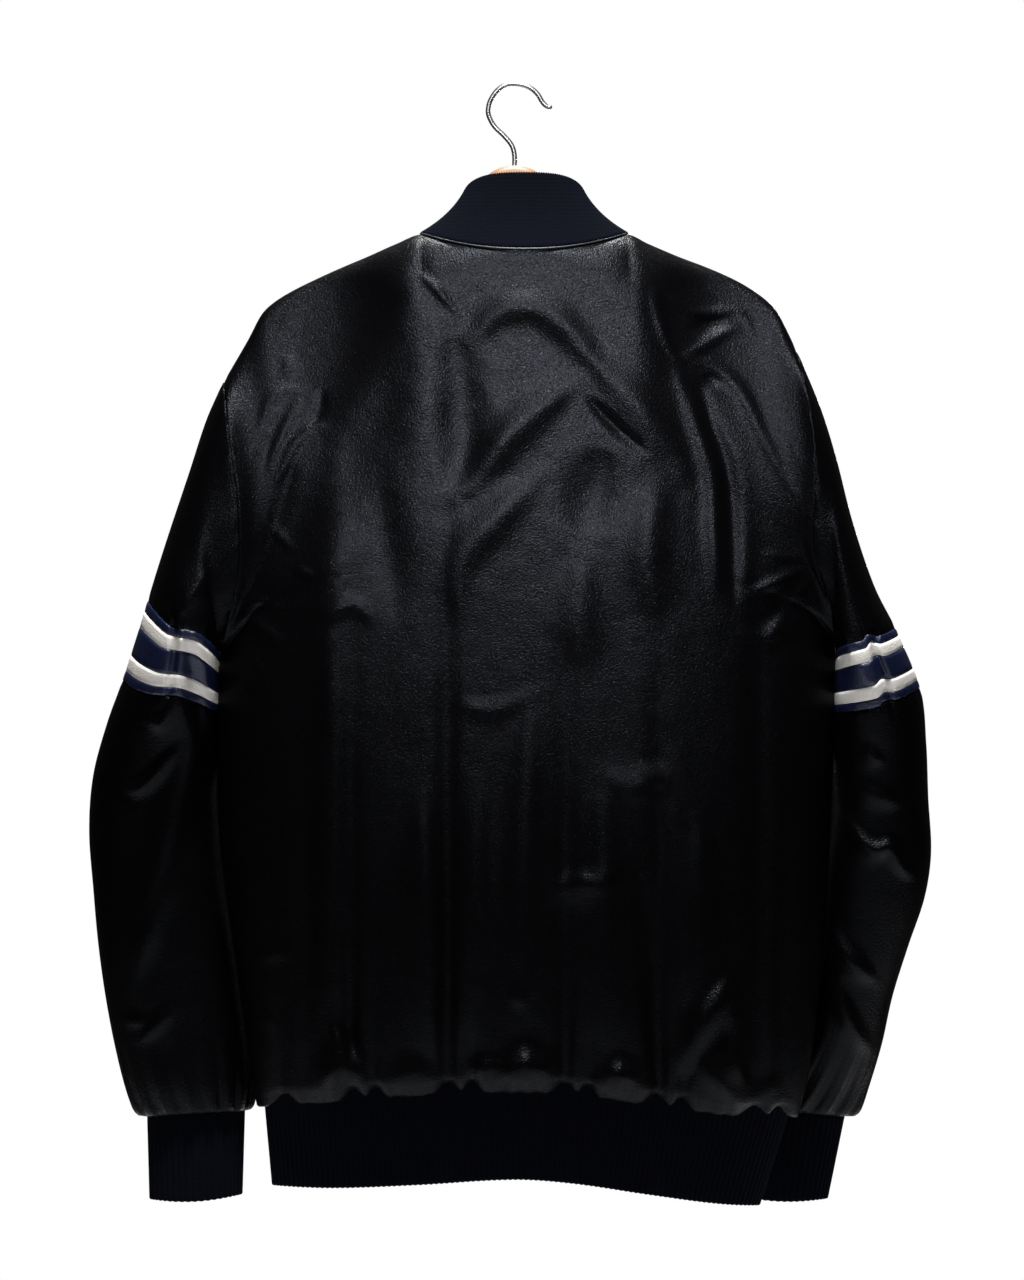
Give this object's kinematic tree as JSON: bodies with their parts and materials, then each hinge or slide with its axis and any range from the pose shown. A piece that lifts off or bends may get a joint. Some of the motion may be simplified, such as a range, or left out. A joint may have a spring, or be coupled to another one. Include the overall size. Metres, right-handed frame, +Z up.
{
  "type": "bomber jacket on a wooden hanger",
  "caption": "Black satin bomber jacket with ribbed collar, hem and cuffs and striped sleeves, hanging closed on a wooden hanger by its wire hook.",
  "frame": {"origin": "inner top of the hanger's hook, where it rests on the rail or peg that holds it", "axes": "+Z up along the garment's length, +Y out of the garment's front, -X the wearer's left"},
  "size_m": [0.698, 0.1975, 0.926],
  "materials": {
    "satin": "black satin with a soft grainy sheen",
    "rib_knit": "very dark navy rib knit",
    "navy_satin": "dark navy satin ribbon",
    "white_satin": "off-white satin ribbon",
    "snap": "black lacquered snap cap",
    "maple": "clear lacquered light maple",
    "steel": "polished wire"
  },
  "bodies": {
    "root": {"back": "satin", "front_left": "satin", "front_right": "satin", "sleeve_upper_left": "satin", "sleeve_band_navy_upper_left": "navy_satin", "sleeve_band_white_upper_left": "white_satin", "sleeve_band_navy_middle_left": "navy_satin", "sleeve_band_white_lower_left": "white_satin", "sleeve_band_navy_lower_left": "navy_satin", "sleeve_lower_left": "satin", "sleeve_upper_right": "satin", "sleeve_band_navy_upper_right": "navy_satin", "sleeve_band_white_upper_right": "white_satin", "sleeve_band_navy_middle_right": "navy_satin", "sleeve_band_white_lower_right": "white_satin", "sleeve_band_navy_lower_right": "navy_satin", "sleeve_lower_right": "satin", "collar": "rib_knit", "hem_rib": "rib_knit", "cuff_left": "rib_knit", "cuff_right": "rib_knit", "snap_1": "snap", "snap_2": "snap", "snap_3": "snap", "snap_4": "snap", "snap_5": "snap", "snap_6": "snap", "snap_7": "snap", "hanger_wood": "maple", "hanger_hook": "steel"}
  },
  "joints": []
}
